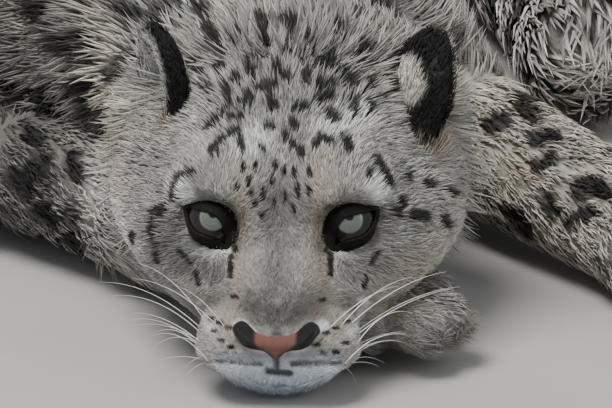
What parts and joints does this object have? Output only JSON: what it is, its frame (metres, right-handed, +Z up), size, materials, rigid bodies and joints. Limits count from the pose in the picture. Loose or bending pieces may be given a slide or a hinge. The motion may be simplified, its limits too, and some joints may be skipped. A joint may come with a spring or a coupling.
{
  "type": "snow leopard",
  "caption": "Life-size still model of a snow leopard lying down, chin on the ground, one forearm crossed under the throat, tail laid round its side.",
  "frame": {"origin": "on the ground, under the middle of the animal's bounding box", "axes": "+Z up, -Y the way the face points, +X the animal's left; the longest extent runs along Y and the shortest along Z"},
  "size_m": [0.8096, 1.0582, 0.2894],
  "materials": {
    "coat": "dense soft fur, pale smoky grey with black rosettes and spots",
    "eye": "wet glossy, pale grey-green iris, round black pupil",
    "nose_leather": "matt, fine-grained nose leather"
  },
  "bodies": {
    "root": {"head": "coat", "ear_left": "coat", "ear_right": "coat", "neck": "coat", "chest": "coat", "belly": "coat", "hips": "coat", "upper_arm_left": "coat", "upper_arm_right": "coat", "forearm_left": "coat", "forearm_right": "coat", "paw_front_left": "coat", "paw_front_right": "coat", "thigh_left": "coat", "thigh_right": "coat", "shank_left": "coat", "shank_right": "coat", "paw_hind_left": "coat", "paw_hind_right": "coat", "tail_1": "coat", "tail_2": "coat", "tail_3": "coat", "tail_4": "coat", "eye_left": "eye", "eye_right": "eye", "nose": "nose_leather"}
  },
  "joints": []
}
